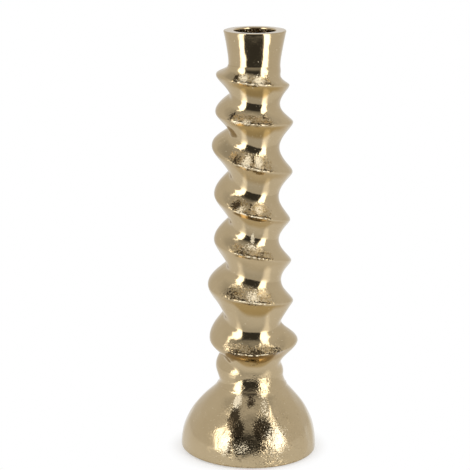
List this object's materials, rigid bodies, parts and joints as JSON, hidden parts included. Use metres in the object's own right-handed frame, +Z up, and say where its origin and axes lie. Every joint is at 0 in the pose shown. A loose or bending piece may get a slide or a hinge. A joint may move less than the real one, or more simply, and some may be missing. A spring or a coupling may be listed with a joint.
{
  "type": "candle holder",
  "caption": "Tall cast metal candle holder: a sharp-edged spiral column on a hollow bell foot, with a tapered cup that holds a dinner candle.",
  "frame": {"origin": "middle of the foot on the table, under the felt", "axes": "+Z up along the column, -Y to the viewer of the picture, +X to the viewer's right"},
  "size_m": [0.0803, 0.0804, 0.25],
  "materials": {
    "foot_casting": "polished gold over a pitted casting",
    "column_casting": "polished gold over a pitted casting",
    "cup_casting": "polished gold, turned bore",
    "plated_steel": "zinc plated",
    "spring_steel": "oiled black",
    "hardboard": "pressed hardboard",
    "felt": "short black felt"
  },
  "bodies": {
    "root": {"bell_base": "foot_casting", "spiral_column": "column_casting", "candle_cup": "cup_casting", "tie_rod": "plated_steel", "flat_washer": "plated_steel", "spring_washer": "spring_steel", "hex_nut": "plated_steel", "backing_board": "hardboard", "felt_pad": "felt"}
  },
  "joints": []
}
